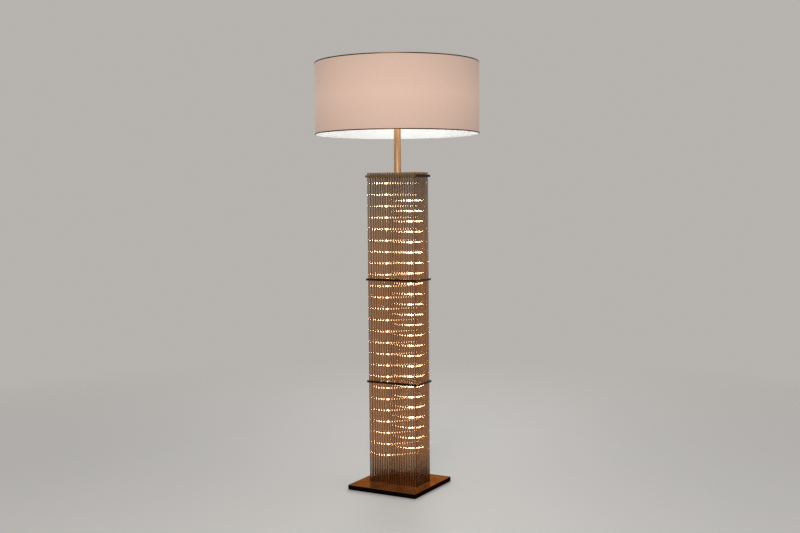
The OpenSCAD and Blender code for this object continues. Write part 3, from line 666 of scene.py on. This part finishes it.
def drum(outer, inner, foot, head, start=0.0, end=2 * math.pi):
    """A band round the Z axis, closed all round or open between two angles, with its own UV map in
    metres: along the cloth, and up from the foot. Its outer and inner faces have different slots."""
    whole = end - start > 2 * math.pi - 1e-6
    steps = sides if whole else 12
    made = bmesh.new()
    layer = made.loops.layers.uv.new("cloth")
    rings = [[made.verts.new((radius * math.cos(a), radius * math.sin(a), height))
              for a in (start + (end - start) * step / steps for step in range(steps + (not whole)))]
             for radius, height in ((outer, foot), (outer, head), (inner, head), (inner, foot))]
    for number in range(4):
        one, two = rings[number], rings[(number + 1) % 4]
        for step in range(steps):
            after = (step + 1) % len(one)
            face = made.faces.new((one[step], one[after], two[after], two[step]))
            face.material_index = 1 if number == 2 else 0
            for loop, turn in zip(face.loops, (step, step + 1, step + 1, step)):
                loop[layer].uv = ((start + (end - start) * turn / steps) * outer, loop.vert.co.z - foot)
    if not whole:
        for step, flip in ((0, False), (steps, True)):
            corners = [ring[step] for ring in rings]
            made.faces.new(corners[::-1] if flip else corners)
    bmesh.ops.recalc_face_normals(made, faces=made.faces)
    mesh = bpy.data.meshes.new("drum")
    made.to_mesh(mesh)
    made.free()
    mesh.materials.append(linen)
    mesh.materials.append(lining)
    return smooth(mesh)


cloth_mesh = drum(cloth_r, cloth_r - cloth_t, foot, head)
cloth_drum = solid("linen_drum", cloth_mesh, linen, "shade", "shade_fabric", "shade_fabric")
lap, lap_margin = 0.006 / cloth_r, 0.0042
lap_mesh = drum(cloth_r + 0.0006, cloth_r + 0.00005, foot + lap_margin, head - lap_margin,
                math.pi / 2 - lap, math.pi / 2 + lap)
rear_lap = solid("linen_lap", lap_mesh, linen, "shade", "shade_fabric")

rim_bronze = brushed("rim bronze", seen_as(92, 70, 52), 0.35, (200, 200, 900), 0.2)
rim_wall = 0.0008
for name, lip in (("bottom_rim", 1), ("top_rim", -1)):
    low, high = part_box(name)
    edge, tall = (low.z, high.z - low.z) if lip > 0 else (high.z, low.z - high.z)
    rim_in, rim_out = cloth_r - cloth_t - 0.0009, min(high.x, high.y, -low.x, -low.y)
    channel = [(rim_in, edge + 0.0002 * lip), (rim_in + 0.0002, edge), (rim_out - 0.0003, edge),
               (rim_out, edge + 0.0003 * lip), (rim_out, edge + tall), (rim_out - rim_wall, edge + tall),
               (rim_out - rim_wall, edge + rim_wall * lip), (rim_in + rim_wall, edge + rim_wall * lip),
               (rim_in + rim_wall, edge + tall), (rim_in, edge + tall), (rim_in, edge + 0.0002 * lip)]
    rim = turned(channel, sides)
    rim.materials.append(rim_bronze)
    rim.materials.append(lining)
    # The rim's inner faces take the lining's white finish, with its painted glow.
    for face in rim.polygons:
        face.material_index = math.hypot(face.center.x, face.center.y) < rim_in + 0.0001
    solid("shade_" + name, rim, rim_bronze, "shade", "bronze_plate", name)

# ---- Studio --------------------------------------------------------------------------------------
# A pale floor that fades into a pale background, soft lamps, and the camera at the height and
# angle of the photograph: about 29 degrees to the right of the cage's front.
scene = bpy.context.scene
scene.view_settings.view_transform = "Standard"

floor_mesh = bpy.data.meshes.new("floor")
disc = bmesh.new()
bmesh.ops.create_circle(disc, cap_ends=True, segments=96, radius=4.0)
disc.to_mesh(floor_mesh)
disc.free()
floor = bpy.data.objects.new("floor", floor_mesh)
scene.collection.objects.link(floor)
floor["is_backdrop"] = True
pale = finish("pale floor", (0.62, 0.60, 0.58, 1), 0.6)
tree = pale.node_tree
far = put(pale, "VectorMath", {"operation": "LENGTH"}, _0=put(pale, "TexCoord").outputs["Object"])
fading = spread(pale, far.outputs["Value"], 1.2, 3.6)
floor_mix = put(pale, "MixShader", _0=fading, _1=tree.nodes["Principled BSDF"].outputs[0],
                _2=put(pale, "BsdfTransparent").outputs[0])
tree.links.new(floor_mix.outputs[0], tree.nodes["Material Output"].inputs["Surface"])
floor_mesh.materials.append(pale)

world = bpy.data.worlds.new("studio")
scene.world = world
world.use_nodes = True
sky = world.node_tree
sky.nodes.clear()
ray = grow(sky, "ShaderNodeLightPath").outputs
seen = ray["Is Camera Ray"]
for mirrored_in in ("Is Glossy Ray", "Is Transmission Ray"):
    seen = reckon(sky, "MAXIMUM", seen, ray[mirrored_in])
soft = grow(sky, "ShaderNodeBackground", Color=(0.92, 0.96, 1.0, 1), Strength=0.38).outputs[0]
backdrop = grow(sky, "ShaderNodeBackground", Color=(0.47, 0.448, 0.425, 1)).outputs[0]
chosen = grow(sky, "ShaderNodeMixShader", _0=seen, _1=soft, _2=backdrop).outputs[0]
grow(sky, "ShaderNodeOutputWorld", Surface=chosen)


def soft_lamp(name, place, size, power, colour):
    """A large soft lamp that faces the middle of the floor lamp."""
    light = bpy.data.lights.new(name, "AREA")
    light.shape, light.size, light.energy, light.color = "DISK", size, power, colour
    lamp = bpy.data.objects.new(name, light)
    scene.collection.objects.link(lamp)
    lamp.location = place
    lamp.rotation_euler = (Vector((0, 0, 0.85)) - Vector(place)).to_track_quat("-Z", "Y").to_euler()


soft_lamp("key", (1.5, -3.8, 2.9), 2.4, 116, (1.0, 0.97, 0.93))
soft_lamp("fill", (3.9, 0.6, 2.0), 2.6, 14, (0.95, 0.97, 1.0))
soft_lamp("back", (-1.6, 3.4, 2.6), 2.4, 50, (1.0, 0.98, 0.95))

yaw, pitch, roll, distance, side_step, eye = 0.5115, 0.0615, 0.0078, 4.3107, 0.0066, 1.1516
camera = bpy.data.objects.new("camera", bpy.data.cameras.new("camera"))
scene.collection.objects.link(camera)
camera.data.sensor_width = 36.0
camera.data.lens = 48.7215
camera.location = (side_step * math.cos(yaw) + distance * math.sin(yaw),
                   side_step * math.sin(yaw) - distance * math.cos(yaw), eye)
ahead = Vector((-math.sin(yaw) * math.cos(pitch), math.cos(yaw) * math.cos(pitch), -math.sin(pitch)))
camera.rotation_mode = "QUATERNION"
camera.rotation_quaternion = ahead.to_track_quat("-Z", "Y") @ Matrix.Rotation(-roll, 4, "Z").to_quaternion()
scene.camera = camera
scene.cycles.caustics_reflective = False
scene.cycles.caustics_refractive = False
scene.cycles.denoising_prefilter = "NONE"
scene.cycles.sample_clamp_indirect = 70
scene.cycles.max_bounces = 20
scene.cycles.transmission_bounces = 20
scene.cycles.glossy_bounces = 8
scene.cycles.transparent_max_bounces = 32

sizes = {"cad": cad_box, "visual": [list(corner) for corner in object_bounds()]}
